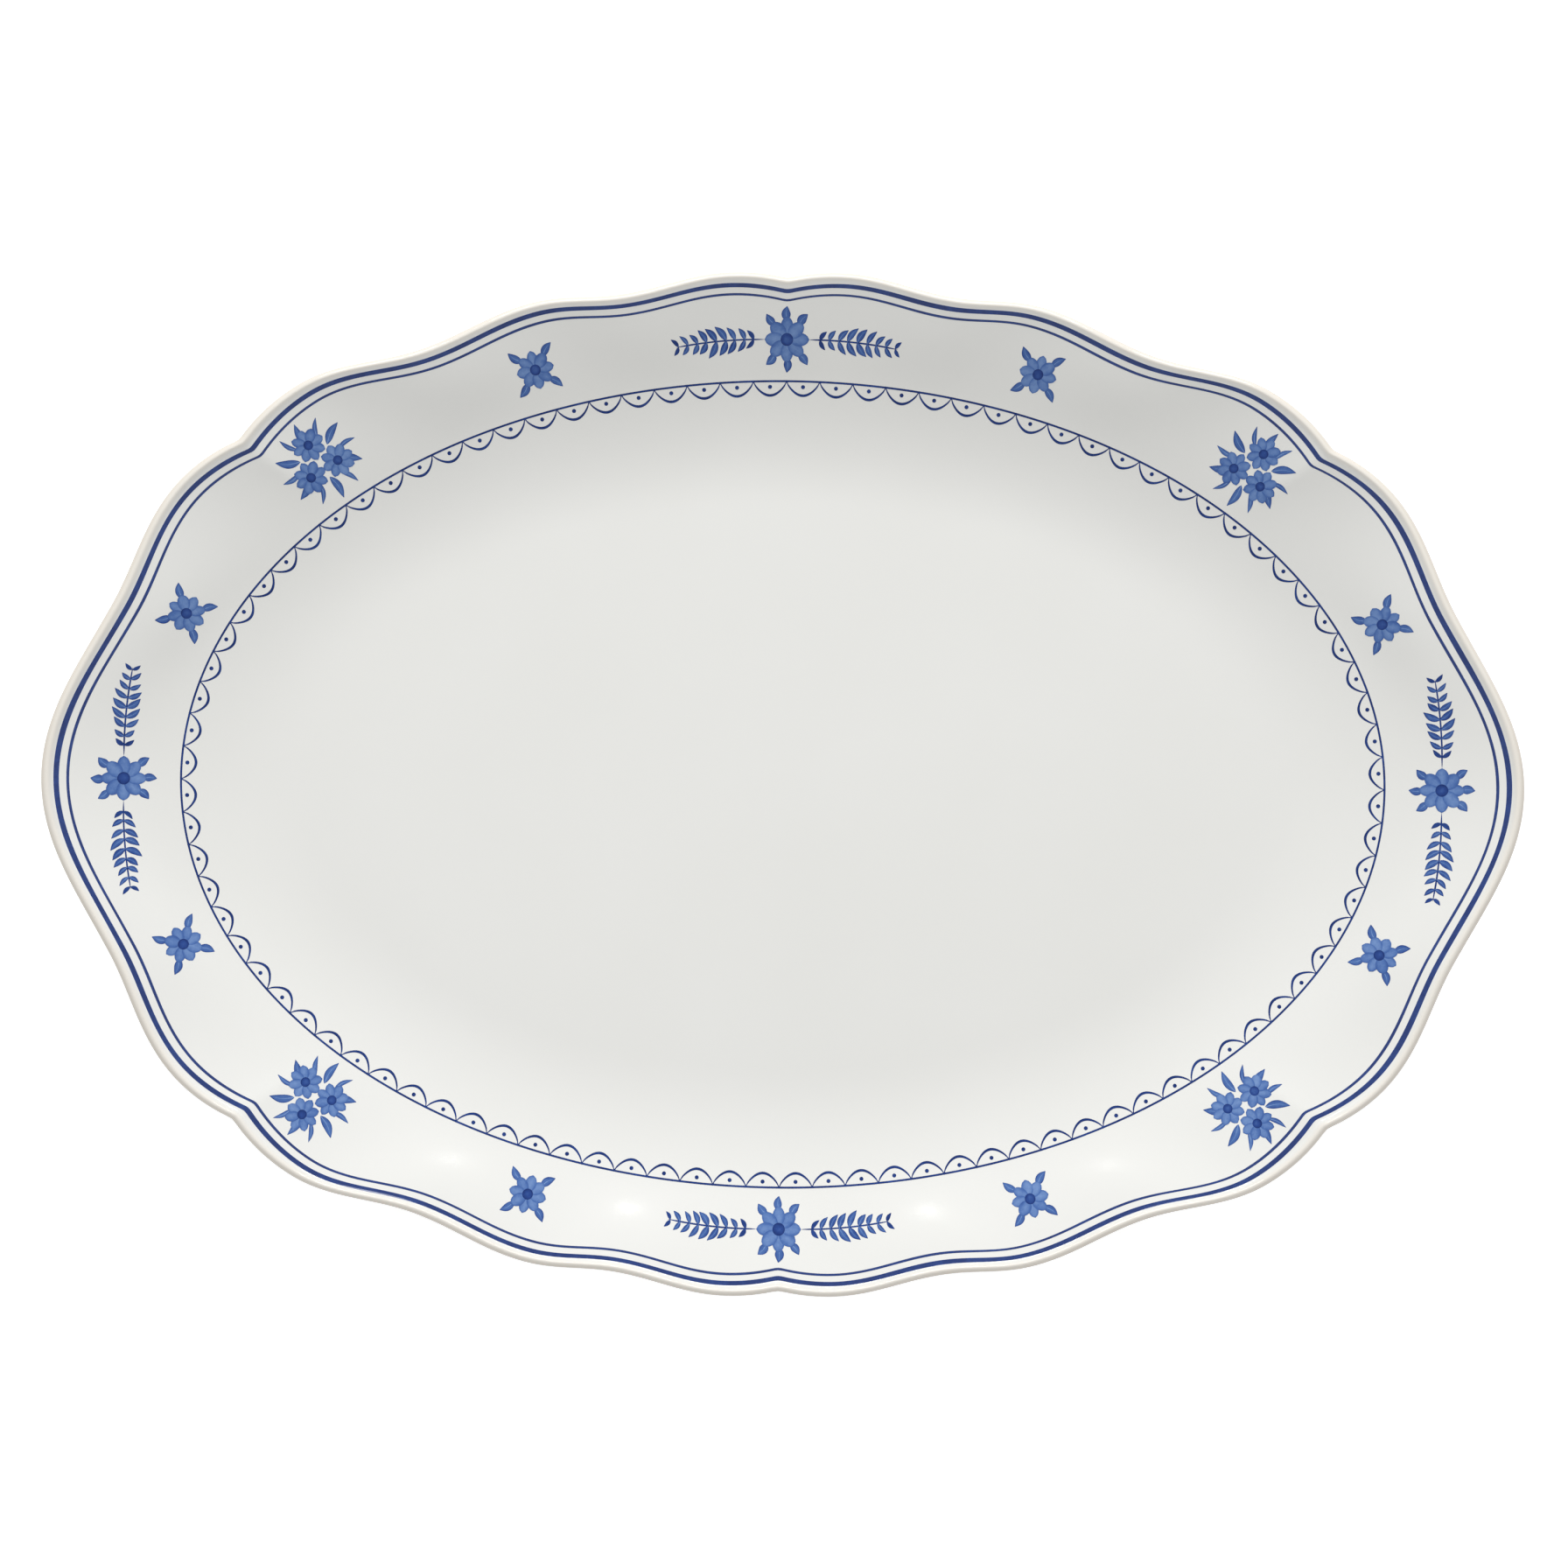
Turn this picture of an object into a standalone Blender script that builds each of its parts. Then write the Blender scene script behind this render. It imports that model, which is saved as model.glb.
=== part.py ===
"""Scalloped oval serving platter in china, one fired piece on a foot ring.

The body is thrown as a round blank: its section is spun about the Z axis, and every point of the
blank is then moved onto an oval whose edge waves in and out. Metres, +Z up. The origin is on the
table, under the middle of the platter, and the long side lies along X.
"""

from math import atan2, cos, degrees, hypot, pi, radians, sin

import bmesh
import bpy
import numpy as np
from mathutils import Vector

# Overall sizes
LENGTH = 0.360             # across the two end crests of the rim
WIDTH = 0.250              # of the oval that the long sides' crests follow
HEIGHT = 0.026             # table to the top of the lip

# Well: the flat floor, and the ring where its cove meets the rim
WELL_LENGTH = 0.238
WELL_WIDTH = 0.144
COVE_RUN = 0.027           # from the well's edge out to the rim, along the length
COVE_RUN_SIDE = 0.026      # the same, along the width
COVE_RISE = 0.0053
FLOOR_THICKNESS = 0.0050

# Rim and its rounded lip
RIM_THICKNESS = 0.0050     # square to the surface, where the rim starts
LIP_WIDTH = 0.0032         # from the outermost line in to where the rim starts
LIP_STEP = 0.00125         # from the lip's top down to where the rim starts
LIP_CREST = 0.0015         # from the outermost line in to the lip's top
LIP_DROP = 0.0018          # from the lip's top down to the outermost line
LIP_DEPTH = 0.0042         # from the lip's top down to its lower corner
LIP_UNDERCUT = 0.0012      # from the outermost line in to the lower corner

# Foot ring, under the well's edge
FOOT_HEIGHT = 0.0030
FOOT_WIDTH = 0.0035        # of the flat face that stands on the table
FOOT_INSET = 0.0055        # from the well's edge in to the foot's inner edge
FOOT_DRAFT = 0.0010        # how far each side of the foot leans out

# Scallops of one quarter of the edge: angle on the oval in degrees, then how far the edge lies
# inside the oval in metres. Crests and hollows alternate, and the other quarters mirror this one.
SCALLOPS = (
    (0.0, 0.0000),
    (21.0, 0.0055),
    (36.3, -0.0003),
    (42.0, 0.0016),
    (49.3, -0.0016),
    (60.6, 0.0037),
    (70.0, 0.0010),
    (77.0, 0.0032),
    (85.5, 0.0004),
    (90.0, 0.0021),
)
SHARP_HOLLOWS = (42.0, 90.0)   # these two are creased, the other hollows are soft
FLUTE_LENGTH = 0.026           # how far the scallops run in from the cove before they are full

# Fineness of the faceted body
STEPS_AROUND = 120
COVE_STEPS = 5
RIM_STEPS = 3
LIP_STEPS = 3
FLOOR_RING = 0.5               # a ring of points part of the way across the floor

GLAZE_COLOUR = (0.80, 0.79, 0.76, 1.0)
GLAZE_ROUGHNESS = 0.08


def clear_scene():
    """Removes whatever the file holds, so that the model starts from nothing."""
    for item in list(bpy.data.objects):
        bpy.data.objects.remove(item, do_unlink=True)


def scallop_inset(angle):
    """How far the edge lies inside the oval at an angle on the oval, in radians."""
    folded = degrees(abs(angle)) % 180.0
    folded = min(folded, 180.0 - folded)
    for (start, inset_start), (end, inset_end) in zip(SCALLOPS, SCALLOPS[1:]):
        if folded <= end:
            break
    part = (folded - start) / (end - start)
    wave = (1.0 - cos(pi * part)) / 2.0
    if end in SHARP_HOLLOWS:
        wave = part**2
    if start in SHARP_HOLLOWS:
        wave = 1.0 - (1.0 - part) ** 2
    return inset_start + (inset_end - inset_start) * wave


def half_width_at(half_length):
    """Half the width of the oval ring that has this half length."""
    lengths = (0.0, WELL_LENGTH / 2, WELL_LENGTH / 2 + COVE_RUN, LENGTH / 2)
    widths = (0.0, WELL_WIDTH / 2, WELL_WIDTH / 2 + COVE_RUN_SIDE, WIDTH / 2)
    return float(np.interp(half_length, lengths, widths))


def scallop_share(half_length):
    """How strongly the scallops show on a ring: none inside the rim, all near the edge."""
    part = (half_length - WELL_LENGTH / 2 - COVE_RUN) / FLUTE_LENGTH
    part = min(max(part, 0.0), 1.0)
    return part * part * (3.0 - 2.0 * part)


def to_platter(point):
    """Moves a point of the round blank onto the scalloped oval."""
    half_length = hypot(point.x, point.y)
    if half_length < 1e-6:
        return Vector((0.0, 0.0, point.z))
    angle = atan2(point.y, point.x)
    half_width = half_width_at(half_length)
    outward = Vector((cos(angle) / half_length, sin(angle) / half_width)).normalized()
    inset = scallop_inset(angle) * scallop_share(half_length)
    x = half_length * cos(angle) - outward.x * inset
    y = half_width * sin(angle) - outward.y * inset
    return Vector((x, y, point.z))


def rim_ends():
    """Half length and height of the rim's upper face where it leaves the cove and meets the lip."""
    start = Vector((WELL_LENGTH / 2 + COVE_RUN, FOOT_HEIGHT + FLOOR_THICKNESS + COVE_RISE))
    end = Vector((LENGTH / 2 - LIP_WIDTH, HEIGHT - LIP_STEP))
    return start, end


def top_section():
    """Half length and height of the upper face, from the lip's outermost line to the centre."""
    edge = LENGTH / 2
    well_edge = WELL_LENGTH / 2
    floor_top = FOOT_HEIGHT + FLOOR_THICKNESS
    rim_start, rim_end = rim_ends()
    points = []
    for step in range(LIP_STEPS + 1):
        turn = pi / 2 * step / LIP_STEPS
        inward = LIP_CREST * (1.0 - cos(turn))
        points.append(Vector((edge - inward, HEIGHT - LIP_DROP * (1.0 - sin(turn)))))
    points += [rim_end.lerp(rim_start, step / RIM_STEPS) for step in range(RIM_STEPS)]
    for step in range(COVE_STEPS + 1):
        part = 1.0 - step / COVE_STEPS
        points.append(Vector((well_edge + COVE_RUN * part, floor_top + COVE_RISE * part**2)))
    points.append(Vector((well_edge * FLOOR_RING, floor_top)))
    points.append(Vector((0.0, floor_top)))
    return points


def under_section():
    """Half length and height of the lower face, from the centre to the lip's lower corner."""
    foot_inner = WELL_LENGTH / 2 - FOOT_INSET
    foot_outer = foot_inner + FOOT_WIDTH
    rim_start, rim_end = rim_ends()
    slope = rim_end - rim_start
    inward_up = Vector((-slope.y, slope.x)).normalized()
    cove = rim_start - inward_up * RIM_THICKNESS
    corner = Vector((LENGTH / 2 - LIP_UNDERCUT, HEIGHT - LIP_DEPTH))
    points = [
        Vector((0.0, FOOT_HEIGHT)),
        Vector((foot_inner * FLOOR_RING, FOOT_HEIGHT)),
        Vector((foot_inner - FOOT_DRAFT, FOOT_HEIGHT)),
        Vector((foot_inner, 0.0)),
        Vector((foot_outer, 0.0)),
    ]
    cove_foot = foot_outer + FOOT_DRAFT
    for step in range(COVE_STEPS):
        part = step / COVE_STEPS
        outward = cove_foot + (cove.x - cove_foot) * part
        points.append(Vector((outward, FOOT_HEIGHT + (cove.y - FOOT_HEIGHT) * part**2)))
    points += [cove.lerp(corner, step / RIM_STEPS) for step in range(RIM_STEPS)]
    points.append(corner)
    return points


def glaze():
    """White china under a clear gloss glaze."""
    material = bpy.data.materials.new("china_glaze")
    material.use_nodes = True
    shader = material.node_tree.nodes["Principled BSDF"]
    shader.inputs["Base Color"].default_value = GLAZE_COLOUR
    shader.inputs["Roughness"].default_value = GLAZE_ROUGHNESS
    shader.inputs["Metallic"].default_value = 0.0
    material.diffuse_color = GLAZE_COLOUR
    return material


def platter_body():
    """Spins the section into a blank, moves it onto the scalloped oval and dresses it."""
    shape = bmesh.new()
    outline = under_section() + top_section()
    corners = [shape.verts.new((point.x, 0.0, point.y)) for point in outline]
    edges = [shape.edges.new(pair) for pair in zip(corners, corners[1:])]
    bmesh.ops.spin(
        shape,
        geom=corners + edges,
        cent=(0.0, 0.0, 0.0),
        axis=(0.0, 0.0, 1.0),
        angle=radians(360.0),
        steps=STEPS_AROUND,
        use_merge=True,
    )
    bmesh.ops.remove_doubles(shape, verts=shape.verts, dist=1e-6)
    for vert in shape.verts:
        vert.co = to_platter(vert.co)
    bmesh.ops.recalc_face_normals(shape, faces=shape.faces)
    mesh = bpy.data.meshes.new("platter_body")
    shape.to_mesh(mesh)
    shape.free()
    mesh.shade_smooth()
    mesh.set_sharp_from_angle(angle=radians(50.0))
    body = bpy.data.objects.new("platter_body", mesh)
    body.data.materials.append(glaze())
    bpy.context.scene.collection.objects.link(body)
    return body


clear_scene()
platter_body()
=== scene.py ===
"""A scalloped oval china platter, printed in cobalt blue under a clear glaze.

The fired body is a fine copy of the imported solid. The decoration lies on it as thin printed films:
two banded lines along the rim, a plain border round the well, and daisies with leaves on the rim.
Metres, +Z up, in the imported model's own frame. Brushwork is drawn in millimetres on a flat sheet
and then laid on the rim.
"""

import logging
import random
from collections.abc import Callable
from dataclasses import dataclass, field
from enum import Enum
from functools import cached_property
from math import atan2, cos, degrees, hypot, pi, radians, sin, sqrt

import bmesh
import bpy
import numpy as np
from mathutils import Matrix, Vector


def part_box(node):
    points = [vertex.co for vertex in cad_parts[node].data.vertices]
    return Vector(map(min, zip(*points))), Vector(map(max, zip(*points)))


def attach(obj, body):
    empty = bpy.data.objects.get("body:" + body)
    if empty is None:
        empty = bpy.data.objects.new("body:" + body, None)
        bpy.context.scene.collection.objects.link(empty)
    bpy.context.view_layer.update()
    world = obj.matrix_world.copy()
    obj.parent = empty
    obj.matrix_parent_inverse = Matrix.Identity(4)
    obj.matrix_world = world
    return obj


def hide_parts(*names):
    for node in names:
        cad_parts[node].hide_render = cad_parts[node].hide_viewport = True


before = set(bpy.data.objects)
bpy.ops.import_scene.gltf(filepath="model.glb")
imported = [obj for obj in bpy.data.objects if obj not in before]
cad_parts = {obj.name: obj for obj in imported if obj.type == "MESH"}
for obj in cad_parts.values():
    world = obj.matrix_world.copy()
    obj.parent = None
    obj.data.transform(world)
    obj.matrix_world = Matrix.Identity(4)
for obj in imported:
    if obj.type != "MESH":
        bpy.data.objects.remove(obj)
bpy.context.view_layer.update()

BODY_NODE = "platter_body"
ROOT = "root"
MM = 0.001

log = logging.getLogger("platter")

Point = tuple[float, float]
Path = tuple[Point, ...]


def smoothstep(low: float, high: float, value: np.ndarray) -> np.ndarray:
    """Rises smoothly from 0 at low to 1 at high.

    Args:
        low: Where it starts.
        high: Where it ends.
        value: Places to read it at.

    Returns:
        0 to 1 for each place.
    """
    part = np.clip((value - low) / (high - low), 0.0, 1.0)
    return part * part * (3.0 - 2.0 * part)


# ---------------------------------------------------------------------------------------------
# The platter's shape
# ---------------------------------------------------------------------------------------------


@dataclass(frozen=True)
class PlatterForm:
    """The platter's surface, as a family of oval rings that wave near the edge.

    A ring is named by its half length, and a place on it by its angle. Both shells, the prints and
    the lip read their place and height from here.
    """

    length: float
    oval_width: float
    height: float
    well_length: float = 0.238
    well_width: float = 0.144
    cove_run: float = 0.027
    cove_run_side: float = 0.026
    cove_rise: float = 0.0053
    floor_thickness: float = 0.0050
    rim_thickness: float = 0.0050
    lip_width: float = 0.0032
    lip_step: float = 0.00125
    lip_crest: float = 0.0015
    lip_drop: float = 0.0018
    lip_depth: float = 0.0042
    lip_undercut: float = 0.0012
    foot_height: float = 0.0030
    foot_width: float = 0.0035
    foot_inset: float = 0.0055
    foot_draft: float = 0.0010
    flute_length: float = 0.026
    blend: float = 0.0045
    crease_blend: float = 0.3
    scallops: tuple[Point, ...] = (
        (0.0, 0.0000),
        (21.0, 0.0055),
        (36.3, -0.0003),
        (42.0, 0.0016),
        (49.3, -0.0016),
        (60.6, 0.0037),
        (70.0, 0.0010),
        (77.0, 0.0032),
        (85.5, 0.0004),
        (90.0, 0.0021),
    )
    sharp_hollows: Point = (42.0, 90.0)

    @property
    def edge(self) -> float:
        """Half length of the lip's outermost line.

        Returns:
            The half length.
        """
        return self.length / 2

    @property
    def well_edge(self) -> float:
        """Half length of the well.

        Returns:
            The half length.
        """
        return self.well_length / 2

    @property
    def cove_edge(self) -> float:
        """Half length of the ring where the cove meets the rim.

        Returns:
            The half length.
        """
        return self.well_edge + self.cove_run

    @property
    def floor_top(self) -> float:
        """Height of the well's floor.

        Returns:
            The height.
        """
        return self.foot_height + self.floor_thickness

    @property
    def rim_end(self) -> Point:
        """Half length and height where the rim meets the lip.

        Returns:
            The half length and the height.
        """
        return self.edge - self.lip_width, self.height - self.lip_step

    @property
    def rim_slope(self) -> float:
        """Rise of the rim for each metre outwards along the length.

        Returns:
            The slope.
        """
        out, up = self.rim_end
        return (up - self.floor_top - self.cove_rise) / (out - self.cove_edge)

    @cached_property
    def ring_table(self) -> tuple[np.ndarray, np.ndarray]:
        """Half lengths and half widths of rings, with the bends between the zones eased.

        Returns:
            The half lengths and the half widths.
        """
        half_side = self.well_width / 2 + self.cove_run_side
        grow = (self.oval_width / 2 - half_side) / (self.edge - self.cove_edge)
        marks = (0.0, self.well_edge, self.cove_edge, self.edge, self.edge * 1.2)
        sides = (
            0.0,
            self.well_width / 2,
            half_side,
            self.oval_width / 2,
            self.oval_width / 2 + grow * self.edge * 0.2,
        )
        rings = np.linspace(0.0, self.edge * 1.1, 2201)
        reach = self.blend * np.minimum(1.0, rings / 0.05)
        shifts = np.linspace(-1.0, 1.0, 17)
        widths = np.mean([np.interp(rings + reach * s, marks, sides) for s in shifts], axis=0)
        return rings, widths

    def half_width(self, ring: np.ndarray) -> np.ndarray:
        """Half width of each ring.

        Args:
            ring: Half lengths of the rings.

        Returns:
            The half widths.
        """
        return np.interp(ring, *self.ring_table)

    def inset(self, angle: np.ndarray) -> np.ndarray:
        """How far the scalloped edge lies inside its oval at each angle, with creases eased.

        Args:
            angle: Angles on the oval, in radians.

        Returns:
            The distances.
        """
        marks = np.array([mark for mark, _ in self.scallops])
        depths = np.array([depth for _, depth in self.scallops])
        total = np.zeros_like(angle)
        shifts = np.linspace(-self.crease_blend, self.crease_blend, 5)
        for shift in shifts:
            folded = np.abs(np.degrees(angle) + shift) % 180.0
            folded = np.minimum(folded, 180.0 - folded)
            step = np.clip(np.searchsorted(marks, folded) - 1, 0, len(marks) - 2)
            start, end = marks[step], marks[step + 1]
            part = (folded - start) / (end - start)
            wave = (1.0 - np.cos(pi * part)) / 2.0
            wave = np.where(np.isin(end, self.sharp_hollows), part**2, wave)
            wave = np.where(np.isin(start, self.sharp_hollows), 1.0 - (1.0 - part) ** 2, wave)
            total += depths[step] + (depths[step + 1] - depths[step]) * wave
        return total / len(shifts)

    def share(self, ring: np.ndarray) -> np.ndarray:
        """How strongly the scallops show on each ring.

        Args:
            ring: Half lengths of the rings.

        Returns:
            0 to 1 for each ring.
        """
        return smoothstep(self.cove_edge, self.cove_edge + self.flute_length, ring)

    def outward(self, ring: np.ndarray, angle: np.ndarray) -> tuple[np.ndarray, np.ndarray]:
        """Unit direction out of each ring, in plan.

        Args:
            ring: Half lengths of the rings.
            angle: Angles on the oval, in radians.

        Returns:
            Its x and its y.
        """
        x = np.cos(angle) / ring
        y = np.sin(angle) / self.half_width(ring)
        size = np.hypot(x, y)
        return x / size, y / size

    def place(self, ring: np.ndarray, angle: np.ndarray) -> tuple[np.ndarray, np.ndarray]:
        """Plan position of each angle on each ring.

        Args:
            ring: Half lengths of the rings.
            angle: Angles on the oval, in radians.

        Returns:
            The x and the y.
        """
        ring = np.maximum(ring, 1e-7)
        out_x, out_y = self.outward(ring, angle)
        inset = self.inset(angle) * self.share(ring)
        x = ring * np.cos(angle) - out_x * inset
        y = self.half_width(ring) * np.sin(angle) - out_y * inset
        return x, y

    def find(self, x: np.ndarray, y: np.ndarray) -> tuple[np.ndarray, np.ndarray]:
        """Ring and angle of each plan position: the reverse of place().

        Args:
            x: Places along the length.
            y: Places across the width.

        Returns:
            The rings and the angles.
        """
        ring = np.maximum(np.hypot(x, y), 1e-4)
        angle = np.arctan2(y, x)
        for _ in range(40):
            side = self.half_width(ring)
            out_x, out_y = self.outward(ring, angle)
            inset = self.inset(angle) * self.share(ring)
            oval_x, oval_y = x + out_x * inset, y + out_y * inset
            angle = np.arctan2(oval_y / side, oval_x / ring)
            ring = np.maximum(ring * np.hypot(oval_x / ring, oval_y / side) ** 0.8, 1e-4)
        return ring, angle

    @cached_property
    def upper_table(self) -> tuple[np.ndarray, np.ndarray]:
        """Half lengths and heights of the upper face, from the centre to the lip's top.

        Returns:
            The half lengths and the heights.
        """
        out, up = self.rim_end
        crest = self.edge - self.lip_crest
        rings = np.linspace(0.0, crest, 6001)
        reach = self.blend * np.clip((out - 0.001 - rings) / self.blend, 0.0, 1.0)
        heights = np.zeros_like(rings)
        shifts = np.linspace(-1.0, 1.0, 17)
        for shift in shifts:
            ring = rings + reach * shift
            part = np.clip((ring - self.well_edge) / self.cove_run, 0.0, 1.0)
            cove = self.floor_top + self.cove_rise * part**2
            heights += cove + np.maximum(ring - self.cove_edge, 0.0) * self.rim_slope
        heights /= len(shifts)
        flank = np.clip((rings - out) / (crest - out), 0.0, 1.0)
        rise = self.height - up
        run = (crest - out) * self.rim_slope
        swell = run * flank * (1.0 - flank) ** 2 + rise * flank**2 * (3.0 - 2.0 * flank)
        return rings, np.where(rings > out, up + swell, heights)

    def upper(self, ring: np.ndarray) -> np.ndarray:
        """Height of the upper face on each ring.

        Args:
            ring: Half lengths of the rings.

        Returns:
            The heights.
        """
        return np.interp(ring, *self.upper_table)

    def on_top(self, x: np.ndarray, y: np.ndarray) -> np.ndarray:
        """Height of the upper face at each plan position.

        Args:
            x: Places along the length.
            y: Places across the width.

        Returns:
            The heights.
        """
        return self.upper(self.find(x, y)[0])


def packed_form() -> PlatterForm:
    """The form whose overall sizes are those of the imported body.

    Returns:
        The form. Its oval is a little wider than the body, because the crests of the long sides
        lie inside the oval.
    """
    low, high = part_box(BODY_NODE)
    length = high.x - low.x
    width = high.y - low.y
    probe = PlatterForm(length=length, oval_width=width, height=high.z)
    angles = np.linspace(0.0, pi, 1441)
    _, y = probe.place(np.full_like(angles, probe.edge), angles)
    return PlatterForm(length=length, oval_width=width * width / (2 * y.max()), height=high.z)


# ---------------------------------------------------------------------------------------------
# Finishes
# ---------------------------------------------------------------------------------------------

Colour = tuple[float, float, float, float]


def shade(red: int, green: int, blue: int) -> Colour:
    """Turns a colour as seen on screen, 0 to 255, into the linear colour that a shader takes.

    Args:
        red: Red, 0 to 255.
        green: Green, 0 to 255.
        blue: Blue, 0 to 255.

    Returns:
        The linear colour, with full alpha.
    """
    parts = [value / 255.0 for value in (red, green, blue)]
    linear = [v / 12.92 if v <= 0.04045 else ((v + 0.055) / 1.055) ** 2.4 for v in parts]
    return linear[0], linear[1], linear[2], 1.0


class NodeBench:
    """Sets nodes side by side in one node tree."""

    def __init__(self, tree: bpy.types.NodeTree) -> None:
        """Takes the tree that the nodes go into.

        Args:
            tree: The tree.
        """
        self.tree = tree

    def add(self, kind: str, **values: object) -> bpy.types.Node:
        """Adds one node.

        Args:
            kind: The node's type, without the ShaderNode prefix.
            **values: Node properties, or input sockets by name with underscores for spaces. A
                socket takes a value or another node's output.

        Returns:
            The new node.
        """
        node = self.tree.nodes.new("ShaderNode" + kind)
        for name, value in values.items():
            if hasattr(node, name) and name not in node.inputs:
                setattr(node, name, value)
                continue
            label = int(name[1:]) if name[1:].isdigit() else name.replace("_", " ")
            socket = node.inputs[label]
            if isinstance(value, bpy.types.NodeSocket):
                self.tree.links.new(value, socket)
            else:
                socket.default_value = value
        return node

    def math(self, operation: str, *inputs: object) -> bpy.types.NodeSocket:
        """One sum on up to three inputs, each a number or a socket.

        Args:
            operation: The sum's name.
            *inputs: Numbers or sockets.

        Returns:
            The node's output.
        """
        values = {f"i{index}": value for index, value in enumerate(inputs)}
        return self.add("Math", operation=operation, **values).outputs[0]

    def mix(self, share: object, first: object, second: object) -> bpy.types.NodeSocket:
        """A colour mixed from two by a share.

        Args:
            share: How much of the second, 0 to 1.
            first: The first colour.
            second: The second colour.

        Returns:
            The mixed colour.
        """
        node = self.add("Mix", data_type="RGBA")
        for socket, value in ((node.inputs[0], share), (node.inputs[6], first), (node.inputs[7], second)):
            if isinstance(value, bpy.types.NodeSocket):
                self.tree.links.new(value, socket)
            else:
                socket.default_value = value
        return node.outputs[2]

    def ramp(self, share: bpy.types.NodeSocket, stops: list[tuple[float, Colour]]) -> bpy.types.NodeSocket:
        """A colour ramp through the given stops.

        Args:
            share: Where on the ramp, 0 to 1.
            stops: Positions and colours.

        Returns:
            The ramp's colour.
        """
        node = self.add("ValToRGB", Fac=share)
        node.color_ramp.interpolation = "LINEAR"
        elements = node.color_ramp.elements
        while len(elements) < len(stops):
            elements.new(0.5)
        for element, (position, colour) in zip(elements, stops):
            element.position = position
            element.color = colour
        return node.outputs["Color"]


def new_group(
    name: str, inputs: dict[str, str], outputs: dict[str, str]
) -> tuple[NodeBench, bpy.types.Node, bpy.types.Node]:
    """Starts a shader node group.

    Args:
        name: The group's name.
        inputs: Socket names and kinds, such as "Float" or "Color".
        outputs: The same for what it puts out.

    Returns:
        The bench to work on, the group's input node and its output node.
    """
    tree = bpy.data.node_groups.new(name, "ShaderNodeTree")
    for label, kind in inputs.items():
        tree.interface.new_socket(label, in_out="INPUT", socket_type="NodeSocket" + kind)
    for label, kind in outputs.items():
        tree.interface.new_socket(label, in_out="OUTPUT", socket_type="NodeSocket" + kind)
    return NodeBench(tree), tree.nodes.new("NodeGroupInput"), tree.nodes.new("NodeGroupOutput")


@dataclass(frozen=True)
class Recipe:
    """Colours of the china and its print, as seen under white light, with one painted shade for the lip's
    outer flank.
    """

    white: Colour = shade(231, 231, 228)
    cloud: Colour = shade(226, 226, 222)
    ivory: Colour = shade(229, 224, 215)
    # painted shade: the lip's outer flank is darkened in colour to stand in for the shade where it turns
    # away from the light
    painted_edge_shade: Colour = shade(212, 205, 194)
    fleck: Colour = shade(168, 160, 146)
    biscuit: Colour = shade(214, 203, 184)
    soiled: Colour = shade(150, 138, 118)
    faint_blue: Colour = shade(172, 192, 222)
    pale_blue: Colour = shade(124, 153, 200)
    mid_blue: Colour = shade(75, 108, 168)
    deep_blue: Colour = shade(38, 69, 137)
    dark_blue: Colour = shade(20, 47, 108)


RECIPE = Recipe()


def glazed_white_group() -> bpy.types.NodeTree:
    """The clear-glazed white: its cloudy tone, its ivory lip with painted shade on the lip's outer flank,
    its flecks and the ripple of the glaze.

    Returns:
        The group.
    """
    bench, given, made = new_group(
        "glazed_white",
        {"Lip": "Float"},
        {"Color": "Color", "Roughness": "Float", "Height": "Float"},
    )
    place = bench.add("TexCoord").outputs["Object"]
    clouds = bench.add("TexNoise", Vector=place, Scale=17.0, Detail=3.0, Roughness=0.55)
    tone = bench.mix(clouds.outputs[0], RECIPE.white, RECIPE.cloud)
    edge = bench.add("TexNoise", Vector=place, Scale=60.0, Detail=2.0)
    wear_and_shade_patches = bench.math("MULTIPLY_ADD", edge.outputs[0], 0.5, 0.7)
    crest = bench.math("MINIMUM", given.outputs["Lip"], 1.0)
    tone = bench.mix(bench.math("MULTIPLY", crest, wear_and_shade_patches), tone, RECIPE.ivory)
    # Painted shade: where Lip runs past 1, on the lip's outer flank, the white is darkened towards the
    # painted edge shade.
    flank = bench.math("SUBTRACT", given.outputs["Lip"], 1.0)
    flank = bench.math("MAXIMUM", flank, 0.0)
    tone = bench.mix(bench.math("MULTIPLY", flank, wear_and_shade_patches), tone, RECIPE.painted_edge_shade)
    cells = bench.add("TexVoronoi", Vector=place, Scale=34.0, Randomness=1.0)
    chance = bench.add("SeparateColor", Color=cells.outputs["Color"]).outputs[0]
    size = bench.math("MULTIPLY", chance, 0.0105)
    fleck = bench.math("LESS_THAN", cells.outputs["Distance"], size)
    tone = bench.mix(bench.math("MULTIPLY", fleck, 0.6), tone, RECIPE.fleck)
    ripple = bench.add("TexNoise", Vector=place, Scale=55.0, Detail=2.0, Roughness=0.4)
    pits = bench.add("TexNoise", Vector=place, Scale=420.0, Detail=1.0)
    height = bench.math("MULTIPLY_ADD", pits.outputs[0], 0.06, ripple.outputs[0])
    dull = bench.add("TexNoise", Vector=place, Scale=30.0, Detail=4.0)
    rough = bench.math("MULTIPLY_ADD", dull.outputs[0], 0.05, 0.06)
    links = bench.tree.links
    links.new(tone, made.inputs["Color"])
    links.new(rough, made.inputs["Roughness"])
    links.new(height, made.inputs["Height"])
    return bench.tree


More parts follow.
